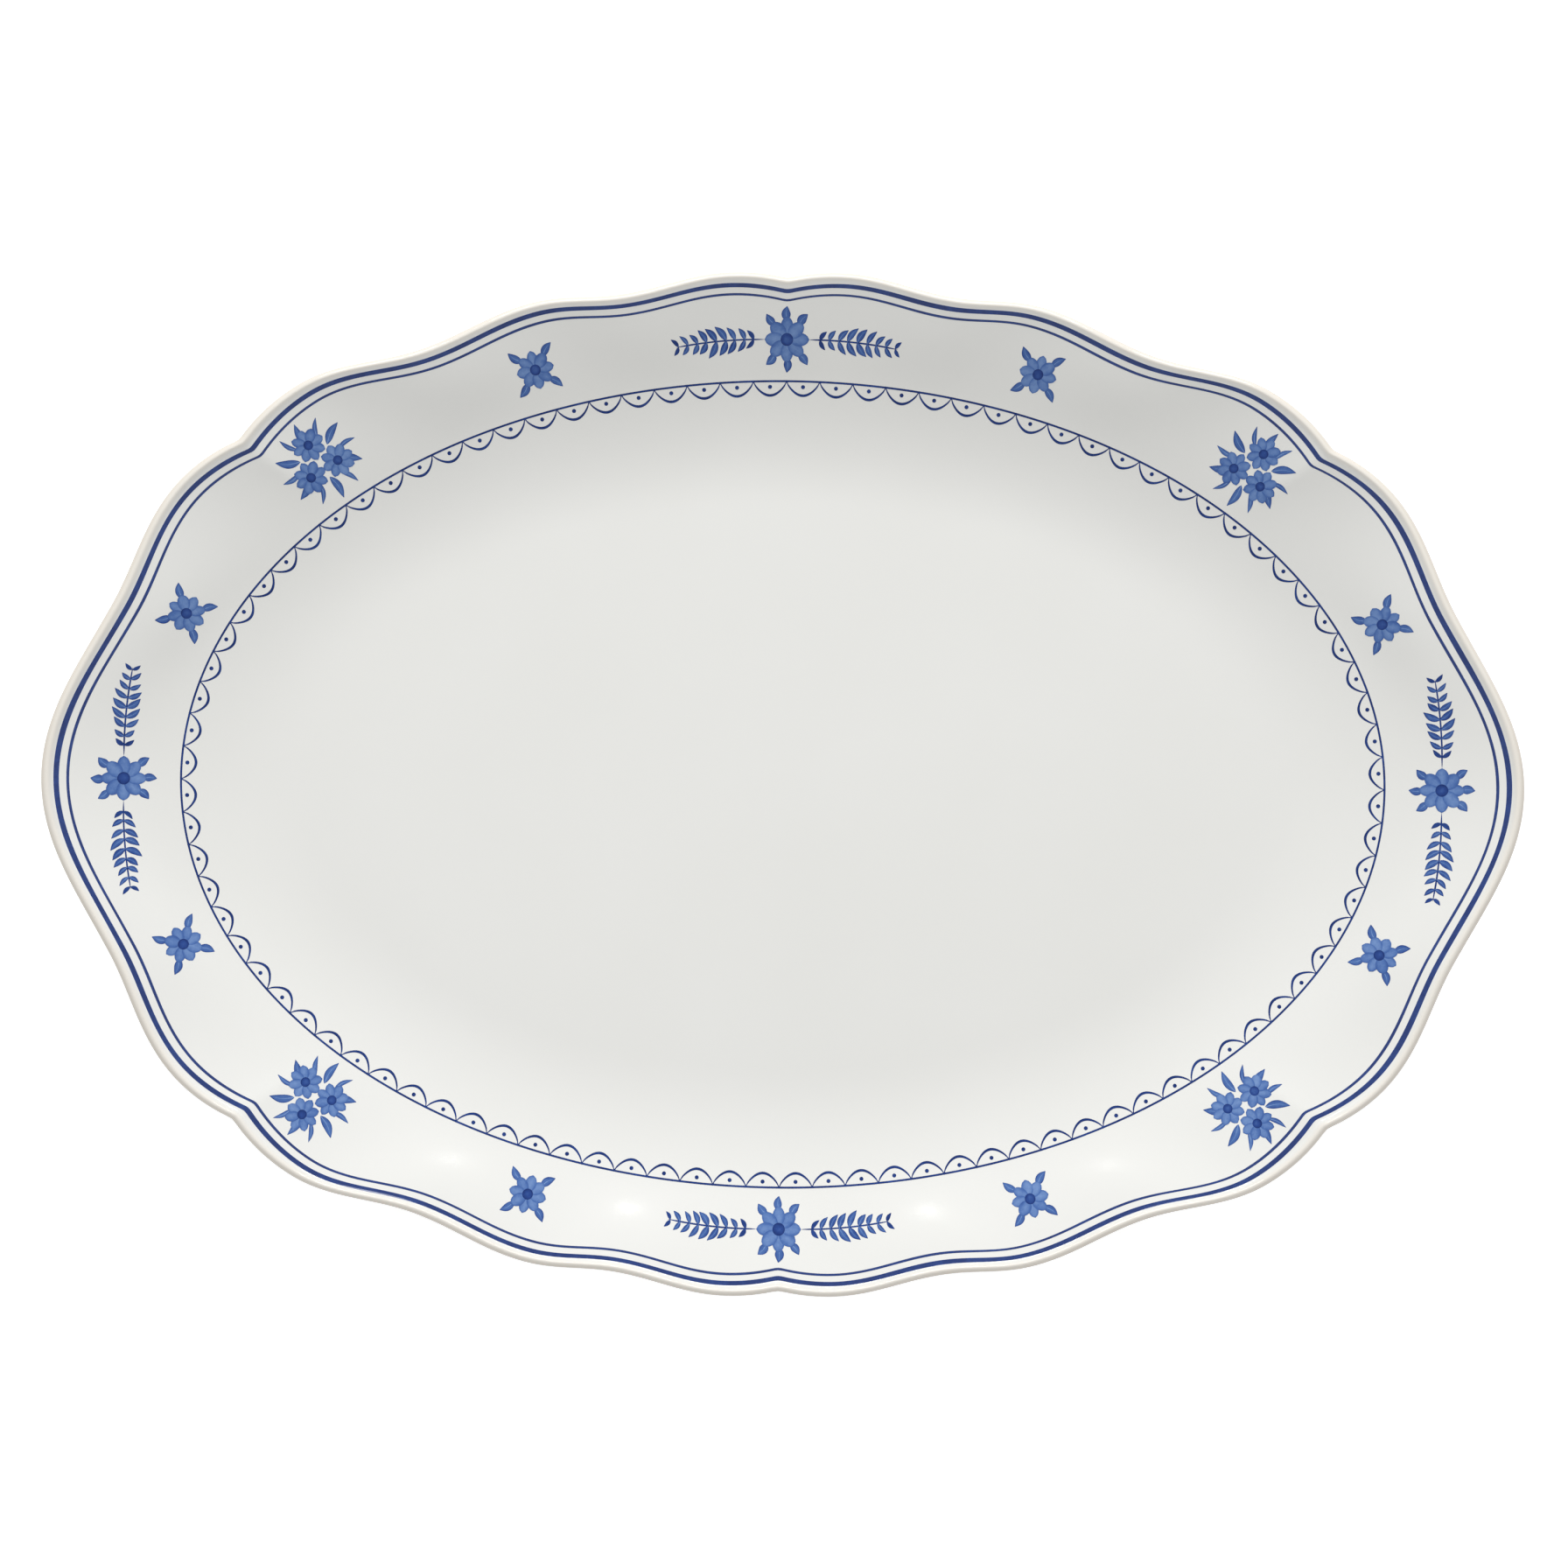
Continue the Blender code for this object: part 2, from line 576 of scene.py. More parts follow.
def cobalt_group() -> bpy.types.NodeTree:
    """Cobalt print: how much of it turns the ground under it how blue, watery and uneven.

    Returns:
        The group.
    """
    bench, given, made = new_group(
        "cobalt_print",
        {"Ink": "Float", "Ground": "Color", "Watery": "Float"},
        {"Color": "Color"},
    )
    place = bench.add("TexCoord").outputs["Object"]
    pools = bench.add("TexNoise", Vector=place, Scale=900.0, Detail=3.0, Roughness=0.6)
    drift = bench.add("TexNoise", Vector=place, Scale=190.0, Detail=2.0)
    uneven = bench.math("ADD", pools.outputs[0], drift.outputs[0])
    uneven = bench.math("SUBTRACT", uneven, 1.0)
    uneven = bench.math("MULTIPLY_ADD", uneven, given.outputs["Watery"], 1.0)
    ink = bench.math("MULTIPLY", given.outputs["Ink"], uneven)
    blue = bench.ramp(
        ink,
        [
            (0.0, RECIPE.white),
            (0.25, RECIPE.faint_blue),
            (0.45, RECIPE.pale_blue),
            (0.65, RECIPE.mid_blue),
            (0.85, RECIPE.deep_blue),
            (1.0, RECIPE.dark_blue),
        ],
    )
    cover = bench.math("MULTIPLY", ink, 6.0)
    cover = bench.math("MINIMUM", cover, 1.0)
    colour = bench.mix(cover, given.outputs["Ground"], blue)
    bench.tree.links.new(colour, made.inputs["Color"])
    return bench.tree


@dataclass(frozen=True)
class Finish:
    """A finish that a piece is dressed in."""

    name: str

    def material(self) -> bpy.types.Material:
        """The finish's material, made the first time that it is asked for.

        Returns:
            The material.
        """
        found = bpy.data.materials.get(self.name)
        if found is not None:
            return found
        material = bpy.data.materials.new(self.name)
        material.use_nodes = True
        tree = material.node_tree
        shader = tree.nodes["Principled BSDF"]
        self.dress(NodeBench(tree), shader)
        return material

    def dress(self, bench: NodeBench, shader: bpy.types.Node) -> None:
        """Joins the finish's nodes to the shader.

        Args:
            bench: The bench to work on.
            shader: The material's main shader.
        """
        raise NotImplementedError

    def group(
        self, bench: NodeBench, name: str, build: Callable[[], bpy.types.NodeTree]
    ) -> bpy.types.Node:
        """Places a shared node group, which is built once.

        Args:
            bench: The bench to work on.
            name: Its name.
            build: What builds it when it is missing.

        Returns:
            The placed group node.
        """
        tree = bpy.data.node_groups.get(name) or build()
        node = bench.add("Group")
        node.node_tree = tree
        return node

    def glaze_over(self, bench: NodeBench, shader: bpy.types.Node, white: bpy.types.Node) -> None:
        """Gives the shader the clear glaze's gloss and ripple.

        Args:
            bench: The bench to work on.
            shader: The material's main shader.
            white: The placed glazed white group.
        """
        links = bench.tree.links
        links.new(white.outputs["Roughness"], shader.inputs["Roughness"])
        bump = bench.add("Bump", Strength=0.35, Distance=0.00012, Height=white.outputs["Height"])
        links.new(bump.outputs["Normal"], shader.inputs["Normal"])
        shader.inputs["IOR"].default_value = 1.5
        shader.inputs["Specular IOR Level"].default_value = 0.5


@dataclass(frozen=True)
class ClearGlaze(Finish):
    """White china under clear glaze, ivory where the glaze runs thin on the lip, with painted shade
    darkening the lip's outer flank.
    """

    name: str = "clear_glaze"

    def dress(self, bench: NodeBench, shader: bpy.types.Node) -> None:
        """Reads how far a place is on the lip from the body's own attribute.

        Args:
            bench: The bench to work on.
            shader: The material's main shader.
        """
        lip = bench.add("Attribute", attribute_name="lip")
        white = self.group(bench, "glazed_white", glazed_white_group)
        bench.tree.links.new(lip.outputs["Fac"], white.inputs["Lip"])
        bench.tree.links.new(white.outputs["Color"], shader.inputs["Base Color"])
        self.glaze_over(bench, shader, white)


@dataclass(frozen=True)
class CobaltPrint(Finish):
    """Cobalt blue under the same clear glaze, as strong as the film's own ink attribute."""

    name: str = "cobalt_under_glaze"
    watery: float = 0.3
    sheen_level: float = 0.2

    def dress(self, bench: NodeBench, shader: bpy.types.Node) -> None:
        """Lays the ink's blue over the glazed white.

        Args:
            bench: The bench to work on.
            shader: The material's main shader.
        """
        links = bench.tree.links
        ink = bench.add("Attribute", attribute_name="ink")
        white = self.group(bench, "glazed_white", glazed_white_group)
        blue = self.group(bench, "cobalt_print", cobalt_group)
        blue.inputs["Watery"].default_value = self.watery
        links.new(ink.outputs["Fac"], blue.inputs["Ink"])
        links.new(white.outputs["Color"], blue.inputs["Ground"])
        links.new(blue.outputs["Color"], shader.inputs["Base Color"])
        self.glaze_over(bench, shader, white)
        shader.inputs["Specular IOR Level"].default_value = self.sheen_level


@dataclass(frozen=True)
class BandedCobalt(CobaltPrint):
    """Cobalt banded on by hand near the lip, where the glaze over it catches more light."""

    name: str = "cobalt_line"
    watery: float = 0.2
    sheen_level: float = 0.5


@dataclass(frozen=True)
class BareFoot(Finish):
    """The foot's unglazed face, sanded and a little soiled by use."""

    name: str = "bare_foot"

    def dress(self, bench: NodeBench, shader: bpy.types.Node) -> None:
        """Grainy biscuit with soil rubbed into it.

        Args:
            bench: The bench to work on.
            shader: The material's main shader.
        """
        place = bench.add("TexCoord").outputs["Object"]
        soil = bench.add("TexNoise", Vector=place, Scale=70.0, Detail=5.0, Roughness=0.65)
        grain = bench.add("TexNoise", Vector=place, Scale=1800.0, Detail=2.0)
        share = bench.ramp(soil.outputs[0], [(0.45, (0.0, 0.0, 0.0, 1.0)), (0.75, (0.7, 0.7, 0.7, 1.0))])
        tone = bench.mix(share, RECIPE.biscuit, RECIPE.soiled)
        links = bench.tree.links
        links.new(tone, shader.inputs["Base Color"])
        bump = bench.add("Bump", Strength=0.5, Distance=0.0001, Height=grain.outputs[0])
        links.new(bump.outputs["Normal"], shader.inputs["Normal"])
        shader.inputs["Roughness"].default_value = 0.85


# ---------------------------------------------------------------------------------------------
# The fired body
# ---------------------------------------------------------------------------------------------


def to_object(shape: bmesh.types.BMesh, name: str, sharp_degrees: float) -> bpy.types.Object:
    """Turns a finished bmesh into a smooth-shaded object in the scene.

    Args:
        shape: The bmesh, which is freed.
        name: The piece's name.
        sharp_degrees: Edges that turn by more than this stay sharp.

    Returns:
        The object, at the origin.
    """
    mesh = bpy.data.meshes.new(name)
    shape.to_mesh(mesh)
    shape.free()
    mesh.shade_smooth()
    mesh.set_sharp_from_angle(angle=radians(sharp_degrees))
    piece = bpy.data.objects.new(name, mesh)
    bpy.context.scene.collection.objects.link(piece)
    return piece


def finish_piece(piece: bpy.types.Object, slot: str, *finishes: Finish) -> bpy.types.Object:
    """Dresses a piece and ties it to the platter's body.

    Args:
        piece: The piece.
        slot: Not used.
        *finishes: What it is dressed in, in the order of its faces' material numbers.

    Returns:
        The same piece.
    """
    for finish in finishes:
        piece.data.materials.append(finish.material())
    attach(piece, ROOT)
    log.info("%s: %d faces", piece.name, len(piece.data.polygons))
    return piece


def spun(loop: list[Point], steps: int, closed: bool) -> bmesh.types.BMesh:
    """Spins a section round the Z axis.

    Args:
        loop: The section's corners, as half length and height.
        steps: How many steps the full turn takes, a multiple of eight.
        closed: Whether the section's last corner joins its first.

    Returns:
        The spun shape.
    """
    shape = bmesh.new()
    corners = [shape.verts.new((out, 0.0, up)) for out, up in loop]
    pairs = list(zip(corners, corners[1:]))
    if closed:
        pairs.append((corners[-1], corners[0]))
    edges = [shape.edges.new(pair) for pair in pairs]
    bmesh.ops.spin(
        shape,
        geom=corners + edges,
        cent=(0.0, 0.0, 0.0),
        axis=(0.0, 0.0, 1.0),
        angle=radians(45.0),
        steps=steps // 8,
        use_merge=False,
    )
    for turn in (45.0, 90.0, 180.0):
        made = bmesh.ops.duplicate(shape, geom=shape.verts[:] + shape.edges[:] + shape.faces[:])
        fresh = [item for item in made["geom"] if isinstance(item, bmesh.types.BMVert)]
        about_z = Matrix.Rotation(radians(turn), 3, "Z")
        bmesh.ops.rotate(shape, verts=fresh, cent=(0.0, 0.0, 0.0), matrix=about_z)
    largest = max(out for out, _ in loop)
    bmesh.ops.remove_doubles(shape, verts=shape.verts, dist=largest * 4e-5)
    return shape


@dataclass
class ChinaBody:
    """The pressed and fired body: well, cove, rim, lip and foot ring in one shell."""

    form: PlatterForm
    steps_around: int = 720
    rim_step: float = 0.0015
    floor_step: float = 0.008
    lip_steps: int = 9
    foot_round: float = 0.0004

    def upper_section(self) -> list[Point]:
        """The upper face, from the centre to the lip's outermost line.

        Returns:
            The section's corners.
        """
        form = self.form
        out, _ = form.rim_end
        crest = form.edge - form.lip_crest
        floor = np.arange(0.0, form.well_edge - form.blend * 1.5, self.floor_step)
        slope = np.arange(form.well_edge - form.blend * 1.5, out - 0.0005, self.rim_step)
        flank = np.linspace(out, crest, self.lip_steps)
        rings = np.concatenate((floor, slope, flank))
        points = [(float(r), float(z)) for r, z in zip(rings, form.upper(rings))]
        for step in range(1, self.lip_steps + 1):
            turn = pi / 2 * (1.0 - step / self.lip_steps)
            inward = form.lip_crest * (1.0 - cos(turn))
            points.append((form.edge - inward, form.height - form.lip_drop * (1.0 - sin(turn))))
        return points

    def lower_section(self) -> list[Point]:
        """The lower face, from the lip's outermost line back to the centre.

        Returns:
            The section's corners.
        """
        form = self.form
        foot_inner = form.well_edge - form.foot_inset
        foot_outer = foot_inner + form.foot_width
        slope = Vector((1.0, form.rim_slope)).normalized()
        cove = Vector((form.cove_edge, form.floor_top + form.cove_rise))
        cove -= Vector((-slope.y, slope.x)) * form.rim_thickness
        corner = Vector((form.edge - form.lip_undercut, form.height - form.lip_depth))
        fall = (corner - cove).normalized()
        edge = Vector((form.edge, form.height - form.lip_drop))
        turn_in = Vector((form.edge, corner.y + fall.y / fall.x * (form.edge - corner.x)))
        back = corner - fall * form.lip_undercut
        points = []
        for step in range(1, self.lip_steps + 1):
            part = step / self.lip_steps
            bend = edge.lerp(turn_in, part).lerp(turn_in.lerp(back, part), part)
            points.append((bend.x, bend.y))
        points += [tuple(back.lerp(cove, step / 12)) for step in range(1, 13)]
        cove_foot = foot_outer + form.foot_draft
        for step in range(1, 13):
            part = 1.0 - step / 12
            out = cove_foot + (cove.x - cove_foot) * part
            points.append((out, form.foot_height + (cove.y - form.foot_height) * part**2))
        soft = self.foot_round
        points += [(foot_outer + form.foot_draft * soft / form.foot_height + soft * 0.2, soft)]
        points += [(foot_outer, soft * 0.25), (foot_outer - soft * 0.6, 0.0)]
        points += [(foot_inner + soft * 0.6, 0.0), (foot_inner, soft * 0.25)]
        points += [(foot_inner - soft * 0.3, soft)]
        points.append((foot_inner - form.foot_draft, form.foot_height))
        for out in np.arange(foot_inner - self.floor_step, 0.001, -self.floor_step):
            points.append((float(out), form.foot_height))
        points.append((0.0, form.foot_height))
        return points

    def build(self) -> bpy.types.Object:
        """Spins the section into a blank, moves it onto the scalloped oval and dresses it.

        Returns:
            The finished piece.
        """
        form = self.form
        shape = spun(self.upper_section() + self.lower_section(), self.steps_around, False)
        layer = shape.verts.layers.float.new("lip")
        verts = list(shape.verts)
        spots = np.array([vert.co for vert in verts])
        ring = np.hypot(spots[:, 0], spots[:, 1])
        angle = np.arctan2(spots[:, 1], spots[:, 0])
        x, y = form.place(ring, angle)
        out, up = form.rim_end
        lip = smoothstep(out + 0.0002, out + 0.0017, ring)
        # The second rise marks the lip's outer flank, which the glaze darkens as painted shade.
        lip = lip + smoothstep(form.edge - 0.0013, form.edge - 0.0002, ring)
        for vert, across, along, height, share in zip(verts, x, y, spots[:, 2], lip):
            vert.co = (across, along, height)
            vert[layer] = share
        bmesh.ops.recalc_face_normals(shape, faces=shape.faces)
        for face in shape.faces:
            face.material_index = int(all(vert.co.z < self.foot_round * 0.1 for vert in face.verts))
        piece = to_object(shape, "china_body", 60.0)
        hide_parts(BODY_NODE)
        return finish_piece(piece, "china_glaze", ClearGlaze(), BareFoot())


# ---------------------------------------------------------------------------------------------
# Printed bands: rim lines and the border round the well
# ---------------------------------------------------------------------------------------------

FILM_DEPTH = 0.06 * MM     # how far a printed film reaches down into the glaze


def ink_layer(shape: bmesh.types.BMesh) -> bmesh.types.BMLayerItem:
    """The layer that holds how much ink each point carries.

    Args:
        shape: The shape that carries it.

    Returns:
        The layer.
    """
    return shape.verts.layers.float.get("ink") or shape.verts.layers.float.new("ink")


@dataclass
class BandedLine:
    """A line banded round the rim by hand: it keeps its distance from the edge, nearly."""

    form: PlatterForm
    name: str
    outer_edge: float          # how far in from the lip's outermost line it starts
    width: float
    lift: float = 0.03 * MM
    pinch: Point = (0.0008, 0.0004)    # how much further in it runs at the creased hollows
    pinch_span: float = 7.0    # how far that reaches to both sides of them, in degrees
    wobble: float = 0.05       # how much its width changes
    steps: int = 1440

    def build(self) -> bpy.types.Object:
        """Spins a thin flat section and lays it on the rim.

        Returns:
            The finished piece.
        """
        form = self.form
        across = (-0.5, -0.42, 0.0, 0.42, 0.5)
        section = [(1.0 + share, 1.0) for share in across]
        section += [(1.5, 0.0), (0.5, 0.0)]
        shape = spun(section, self.steps, True)
        layer = ink_layer(shape)
        verts = list(shape.verts)
        spots = np.array([vert.co for vert in verts])
        angle = np.arctan2(spots[:, 1], spots[:, 0])
        share = np.hypot(spots[:, 0], spots[:, 1]) - 1.0
        width = self.width * (1.0 + self.wobble * np.sin(7 * angle + self.width * 9e3))
        width *= 1.0 + self.wobble * np.sin(23 * angle + 1.3)
        middle = form.edge - self.outer_edge - self.width / 2
        middle = middle + 0.00008 * np.sin(11 * angle)
        folded = np.degrees(np.abs(np.arctan2(np.sin(angle), np.abs(np.cos(angle)))))
        for hollow, depth in zip(form.sharp_hollows, self.pinch):
            middle = middle - depth * np.exp(-(((folded - hollow) / self.pinch_span) ** 2))
        ring = middle + share * width
        x, y = form.place(ring, angle)
        z = form.upper(ring) + np.where(spots[:, 2] > 0.5, self.lift, -FILM_DEPTH)
        for vert, east, north, height, side in zip(verts, x, y, z, share):
            vert.co = (east, north, height)
            vert[layer] = 0.8 if abs(side) > 0.45 else 0.97
        bmesh.ops.recalc_face_normals(shape, faces=shape.faces)
        piece = to_object(shape, self.name, 40.0)
        return finish_piece(piece, "cobalt_print", BandedCobalt())


class BorderThread(Enum):
    """The two threads that the border is drawn with."""

    LINE = "border_line"
    ARCHES = "border_arches"


@dataclass
class PlainBorder:
    """The printed border round the well: a line, a row of even round arches, and a dot in each."""

    form: PlatterForm
    length: float = 0.2940     # of the line's oval
    width: float = 0.1970
    repeats: int = 96
    steps_per_repeat: int = 20
    depth: float = 3.4 * MM    # from the line to an arch's lowest place
    line_half: float = 0.24 * MM
    arch_half: float = 0.32 * MM
    dot_radius: float = 0.5 * MM
    dot_drop: float = 1.35 * MM    # from the line to a dot's middle

    @cached_property
    def arc(self) -> tuple[np.ndarray, np.ndarray]:
        """Angles on the line's oval and the distance run along it.

        Returns:
            The angles in radians, and for each the distance in metres.
        """
        angles = np.linspace(0.0, 2 * pi, 14401)
        x = self.length / 2 * np.cos(angles)
        y = self.width / 2 * np.sin(angles)
        runs = np.hypot(np.diff(x), np.diff(y))
        return angles, np.concatenate(([0.0], np.cumsum(runs)))

    def plan(self, part: np.ndarray, inward: np.ndarray) -> tuple[np.ndarray, np.ndarray]:
        """Plan position of places on the border.

        Args:
            part: Share of the way round, 0 to 1.
            inward: How far in from the line, in metres.

        Returns:
            The places' x and y.
        """
        angles, runs = self.arc
        angle = np.interp(part % 1.0 * runs[-1], runs, angles)
        a, b = self.length / 2, self.width / 2
        out_x, out_y = np.cos(angle) / a, np.sin(angle) / b
        size = np.hypot(out_x, out_y)
        x = a * np.cos(angle) - out_x / size * inward
        return x, b * np.sin(angle) - out_y / size * inward

    def build_thread(self, kind: BorderThread, lift: float) -> bpy.types.Object:
        """Spins one thread right round the border.

        Args:
            kind: Which thread.
            lift: How far its upper face stands over the glaze.

        Returns:
            The printed thread.
        """
        steps = self.repeats * self.steps_per_repeat
        section = [(1.5, 1.0), (2.0, 1.0), (2.5, 1.0), (2.5, 0.0), (1.5, 0.0)]
        shape = spun(section, steps, True)
        layer = ink_layer(shape)
        verts = list(shape.verts)
        spots = np.array([vert.co for vert in verts])
        turn = np.arctan2(spots[:, 1], spots[:, 0]) % (2 * pi)
        step = np.round(turn / (2 * pi) * steps)
        side = (np.hypot(spots[:, 0], spots[:, 1]) - 2.0) * 2.0
        middle = np.zeros(len(verts))
        half = self.line_half
        if kind is BorderThread.ARCHES:
            middle = self.depth * np.abs(np.sin(pi * step / self.steps_per_repeat)) ** 0.7
            half = self.arch_half
        x, y = self.plan(step / steps, middle - side * half)
        z = self.form.on_top(x, y) + np.where(spots[:, 2] > 0.5, lift, -FILM_DEPTH)
        for vert, east, north, height in zip(verts, x, y, z):
            vert.co = (east, north, height)
            vert[layer] = 0.97
        bmesh.ops.recalc_face_normals(shape, faces=shape.faces)
        return finish_piece(to_object(shape, kind.value, 40.0), "cobalt_print", CobaltPrint())

    def build_dots(self) -> bpy.types.Object:
        """One dot in the middle of each arch.

        Returns:
            The printed dots.
        """
        shape = bmesh.new()
        layer = ink_layer(shape)
        for index in range(self.repeats):
            made = bmesh.ops.create_circle(shape, cap_ends=True, segments=10, radius=self.dot_radius)
            x, y = self.plan(np.array([(index + 0.5) / self.repeats]), np.array([self.dot_drop]))
            bmesh.ops.translate(shape, verts=made["verts"], vec=(float(x[0]), float(y[0]), 0.0))
        sink_film(shape, self.form, 0.03 * MM)
        for vert in shape.verts:
            vert[layer] = 0.97
        return finish_piece(to_object(shape, "border_dots", 40.0), "cobalt_print", CobaltPrint())

    def build(self) -> list[bpy.types.Object]:
        """Both threads, then the dots.

        Returns:
            The border's pieces.
        """
        lifts = {BorderThread.ARCHES: 0.028, BorderThread.LINE: 0.034}
        pieces = [self.build_thread(kind, lift * MM) for kind, lift in lifts.items()]
        pieces.append(self.build_dots())
        return pieces


def sink_film(shape: bmesh.types.BMesh, form: PlatterForm, lift: float) -> None:
    """Lays flat shapes on the platter and gives them their thickness.

    Args:
        shape: Flat shapes in plan. The height of each point, if any, is kept as extra lift.
        form: The surface that they are laid on.
        lift: How far their upper face stands over the glaze.
    """
    verts = list(shape.verts)
    spots = np.array([vert.co for vert in verts])
    heights = form.on_top(spots[:, 0], spots[:, 1]) + spots[:, 2] + lift
    for vert, height in zip(verts, heights):
        vert.co.z = height
    sheet = shape.verts[:] + shape.edges[:] + shape.faces[:]
    made = bmesh.ops.extrude_face_region(shape, geom=sheet, use_keep_orig=True)
    lower = [item for item in made["geom"] if isinstance(item, bmesh.types.BMVert)]
    bmesh.ops.translate(shape, verts=lower, vec=(0.0, 0.0, -FILM_DEPTH - lift))
    bmesh.ops.recalc_face_normals(shape, faces=shape.faces)


# ---------------------------------------------------------------------------------------------
# Brushwork: strokes on a flat sheet, in millimetres
# ---------------------------------------------------------------------------------------------


class Brush(Enum):
    """How a stroke's width runs along it."""

    LINE = "even, with soft ends"
    TAPER = "full at the start, fine at the end"
    LEAF = "pointed at both ends"
    PETAL = "full and round at both ends"


class Wash(Enum):
    """How the ink lies within a stroke."""

    FLAT = "even"
    EDGED = "darker round its edge"


def swell(brush: Brush, along: np.ndarray) -> np.ndarray:
    """Half width of a stroke, as a share of its fullest, along it from 0 to 1.

    Args:
        brush: The brush.
        along: Places along the stroke, 0 to 1.

    Returns:
        The half widths.
    """
    hump = np.sin(pi * np.clip(along, 0.0, 1.0))
    if brush is Brush.TAPER:
        return np.maximum(1.0 - along, 0.0) ** 0.75 * np.clip(along * 12.0 + 0.4, 0.0, 1.0)
    if brush is Brush.LEAF:
        return np.sin(pi * np.clip(along, 0.0, 1.0) ** 0.85) ** 0.85
    if brush is Brush.PETAL:
        return hump**0.5
    return np.clip(hump * 2.6, 0.0, 1.0) ** 0.6


def soak(wash: Wash, along: np.ndarray, across: np.ndarray) -> np.ndarray:
    """Share of the full ink at places along (0 to 1) and across (-1 to 1) a stroke.

    Args:
        wash: The wash.
        along: Places along the stroke, 0 to 1.
        across: Places across it, -1 to 1.

    Returns:
        The shares.
    """
    if wash is Wash.EDGED:
        return 0.78 + 0.22 * np.maximum(np.abs(across) ** 2, (2.0 * along - 1.0) ** 4)
    return np.ones_like(along)


def smooth_path(path: Path, count: int) -> np.ndarray:
    """Evenly spaced points on a smooth curve through a path's corners.

    Args:
        path: The corners.
        count: How many points.

    Returns:
        The points, one in a row.
    """
    corners = np.array(path, dtype=float)
    if len(corners) > 2:
        ends = (2 * corners[0] - corners[1], 2 * corners[-1] - corners[-2])
        knots = np.vstack((ends[0], corners, ends[1]))
        part = np.linspace(0.0, 1.0, 12, endpoint=False)[:, None]
        runs = []
        for before, start, end, after in zip(knots, knots[1:], knots[2:], knots[3:]):
            bend = 2 * before - 5 * start + 4 * end - after
            sway = 3 * start - 3 * end + after - before
            runs.append(start + 0.5 * ((end - before) * part + bend * part**2 + sway * part**3))
        corners = np.vstack(runs + [corners[-1:]])
    run = np.concatenate(([0.0], np.cumsum(np.hypot(*np.diff(corners, axis=0).T))))
    marks = np.linspace(0.0, run[-1], count)
    return np.column_stack([np.interp(marks, run, corners[:, axis]) for axis in (0, 1)])


